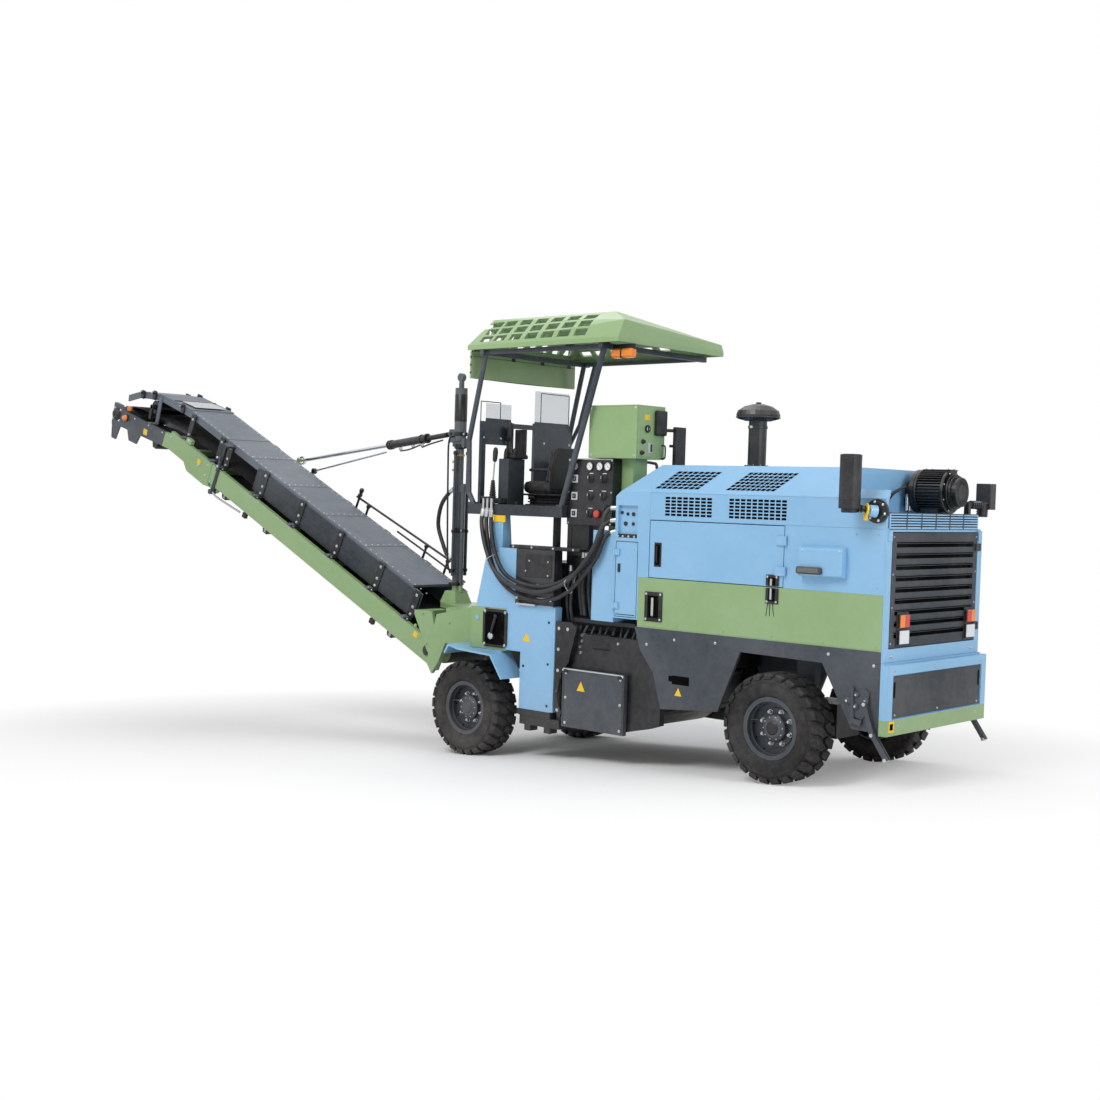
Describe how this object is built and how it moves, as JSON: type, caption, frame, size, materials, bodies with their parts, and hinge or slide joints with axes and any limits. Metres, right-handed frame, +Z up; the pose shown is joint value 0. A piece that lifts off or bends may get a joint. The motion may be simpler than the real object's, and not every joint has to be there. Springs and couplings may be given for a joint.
{
  "type": "cold planer milling machine",
  "caption": "Compact wheeled cold planer with engine hood, canopied driver deck, milling drum and a swinging front loading conveyor on a mast.",
  "frame": {"origin": "on the ground under the middle of the machine's length and width", "axes": "+X forward towards the conveyor, +Y to the machine's left, +Z up"},
  "size_m": [10.778, 2.0153, 3.9136],
  "materials": {
    "paint_green": "semi-gloss sage green paint",
    "paint_blue": "semi-gloss light blue paint",
    "paint_grey": "satin dark grey paint",
    "paint_black": "satin black paint",
    "cover_grey": "satin mid grey sheet cover",
    "tyre_rubber": "matt black rubber with block tread",
    "belt_rubber": "matt black conveyor belt",
    "cutter_steel": "worn bare steel",
    "rod_chrome": "polished rod"
  },
  "bodies": {
    "machine": {"air_stack": "paint_black", "canopy_frame": "paint_grey", "canopy_roof": "paint_green", "chassis_frame": "paint_grey", "control_cabinet": "paint_green", "deck_support_left": "paint_blue", "deck_support_right": "paint_blue", "drum_housing": "paint_black", "engine_block": "paint_grey", "engine_hood": "paint_blue", "fan_motor": "paint_black", "front_console": "paint_grey", "front_cowl": "paint_blue", "front_fender_left": "paint_blue", "front_fender_right": "paint_blue", "front_frame": "paint_green", "hydraulic_tank": "paint_blue", "instrument_panel": "paint_black", "lower_panel_left": "paint_green", "lower_panel_right": "paint_green", "operator_deck": "paint_grey", "operator_seat": "paint_black", "primary_conveyor": "paint_grey", "pump_unit": "paint_black", "radiator": "paint_black", "rear_axle": "paint_black", "rear_bumper": "paint_blue", "rear_frame": "paint_blue", "rear_lamp_left": "paint_black", "rear_lamp_right": "paint_black"},
    "rear_wheel_left": {"rear_tyre_left": "tyre_rubber", "rear_rim_left": "paint_grey"},
    "rear_wheel_right": {"rear_tyre_right": "tyre_rubber", "rear_rim_right": "paint_grey"},
    "front_wheel_left": {"front_tyre_left": "tyre_rubber", "front_rim_left": "paint_grey"},
    "front_wheel_right": {"front_tyre_right": "tyre_rubber", "front_rim_right": "paint_grey"},
    "knuckle_left": {"steering_knuckle_left": "paint_grey"},
    "knuckle_right": {"steering_knuckle_right": "paint_grey"},
    "drum": {"milling_drum": "cutter_steel"},
    "side_plate_left": {"drum_side_plate_left": "paint_grey"},
    "side_plate_right": {"drum_side_plate_right": "paint_grey"},
    "gate": {"scraper_gate": "paint_grey"},
    "turret": {"swing_turret": "paint_green"},
    "boom": {"boom_frame": "paint_green", "boom_belt": "belt_rubber", "boom_cover": "cover_grey"},
    "boom_tip": {"boom_head": "paint_grey", "head_belt": "belt_rubber", "head_cover": "cover_grey"},
    "stay_tube": {"stay_barrel": "paint_black"},
    "stay_piston": {"stay_rod": "rod_chrome"},
    "engine_door_l": {"engine_door_left": "paint_blue"},
    "engine_door_r": {"engine_door_right": "paint_blue"},
    "service_door_l": {"service_door_left": "paint_blue"},
    "service_door_r": {"service_door_right": "paint_blue"},
    "grille_door": {"rear_grille_door": "paint_grey"},
    "visor": {"canopy_visor": "paint_green"}
  },
  "joints": [
    {"name": "rear_left_spin", "type": "hinge", "parent": "machine", "child": "rear_wheel_left", "pos_m": [-4.32214, 0.755, 0.42], "axis": [0, 1, 0], "continuous": true},
    {"name": "rear_right_spin", "type": "hinge", "parent": "machine", "child": "rear_wheel_right", "pos_m": [-4.32214, -0.755, 0.42], "axis": [0, 1, 0], "continuous": true},
    {"name": "steer_left", "type": "hinge", "parent": "machine", "child": "knuckle_left", "pos_m": [-1.07814, 0.545, 0.42], "axis": [-0.0692, 0, 0.9976], "range_deg": [-22, 22]},
    {"name": "steer_right", "type": "hinge", "parent": "machine", "child": "knuckle_right", "pos_m": [-1.07814, -0.545, 0.42], "axis": [-0.0692, 0, 0.9976], "range_deg": [-22, 22]},
    {"name": "front_left_spin", "type": "hinge", "parent": "knuckle_left", "child": "front_wheel_left", "pos_m": [-1.07814, 0.755, 0.42], "axis": [0, 1, 0], "continuous": true},
    {"name": "front_right_spin", "type": "hinge", "parent": "knuckle_right", "child": "front_wheel_right", "pos_m": [-1.07814, -0.755, 0.42], "axis": [0, 1, 0], "continuous": true},
    {"name": "drum_spin", "type": "hinge", "parent": "machine", "child": "drum", "pos_m": [-2.52992, 0, 0.5945], "axis": [0, 1, 0], "continuous": true},
    {"name": "side_plate_left_lift", "type": "slide", "parent": "machine", "child": "side_plate_left", "axis": [-0.0692, 0, 0.9976], "range_m": [0, 0.12]},
    {"name": "side_plate_right_lift", "type": "slide", "parent": "machine", "child": "side_plate_right", "axis": [-0.0692, 0, 0.9976], "range_m": [0, 0.12]},
    {"name": "gate_swing", "type": "hinge", "parent": "machine", "child": "gate", "pos_m": [-3.0391, 0, 0.70952], "axis": [0, 1, 0], "range_deg": [0, 45]},
    {"name": "conveyor_swing", "type": "hinge", "parent": "machine", "child": "turret", "pos_m": [-0.09256, 0, 1.29493], "axis": [-0.0692, 0, 0.9976], "range_deg": [-30, 30]},
    {"name": "conveyor_lift", "type": "hinge", "parent": "turret", "child": "boom", "pos_m": [-0.24582, 0, 0.90338], "axis": [0, -1, 0], "range_deg": [-6, 5]},
    {"name": "tip_fold", "type": "hinge", "parent": "boom", "child": "boom_tip", "pos_m": [3.44364, 0, 2.66107], "axis": [0, 1, 0], "range_deg": [0, 95]},
    {"name": "stay_tilt", "type": "hinge", "parent": "turret", "child": "stay_tube", "pos_m": [-0.09784, -0.031, 2.98863], "axis": [0, -1, 0], "range_deg": [-8, 8]},
    {"name": "stay_slide", "type": "slide", "parent": "stay_tube", "child": "stay_piston", "axis": [0.9889, -0.147, -0.0229], "range_m": [-0.25, 0.25]},
    {"name": "engine_door_left_swing", "type": "hinge", "parent": "machine", "child": "engine_door_l", "pos_m": [-4.41275, 0.7526, 1.69679], "axis": [-0.0692, 0, 0.9976], "range_deg": [0, 100]},
    {"name": "engine_door_right_swing", "type": "hinge", "parent": "machine", "child": "engine_door_r", "pos_m": [-4.41275, -0.7526, 1.69679], "axis": [0.0692, 0, -0.9976], "range_deg": [0, 100]},
    {"name": "service_door_left_swing", "type": "hinge", "parent": "machine", "child": "service_door_l", "pos_m": [-2.73643, 0.7526, 1.56253], "axis": [0.0692, 0, -0.9976], "range_deg": [0, 100]},
    {"name": "service_door_right_swing", "type": "hinge", "parent": "machine", "child": "service_door_r", "pos_m": [-2.73643, -0.7526, 1.56253], "axis": [-0.0692, 0, 0.9976], "range_deg": [0, 100]},
    {"name": "grille_swing", "type": "hinge", "parent": "machine", "child": "grille_door", "pos_m": [-5.25744, -0.675, 1.43769], "axis": [-0.0692, 0, 0.9976], "range_deg": [0, 100]},
    {"name": "visor_swing", "type": "hinge", "parent": "machine", "child": "visor", "pos_m": [-1.08985, 0, 3.61886], "axis": [0, -1, 0], "range_deg": [0, 60]}
  ],
  "couplings": [
    {"joint": "steer_right", "follows": "steer_left", "ratio": 1},
    {"joint": "stay_tilt", "follows": "conveyor_lift", "ratio": 1.03},
    {"joint": "stay_slide", "follows": "conveyor_lift", "m_per_rad": -2.123}
  ]
}
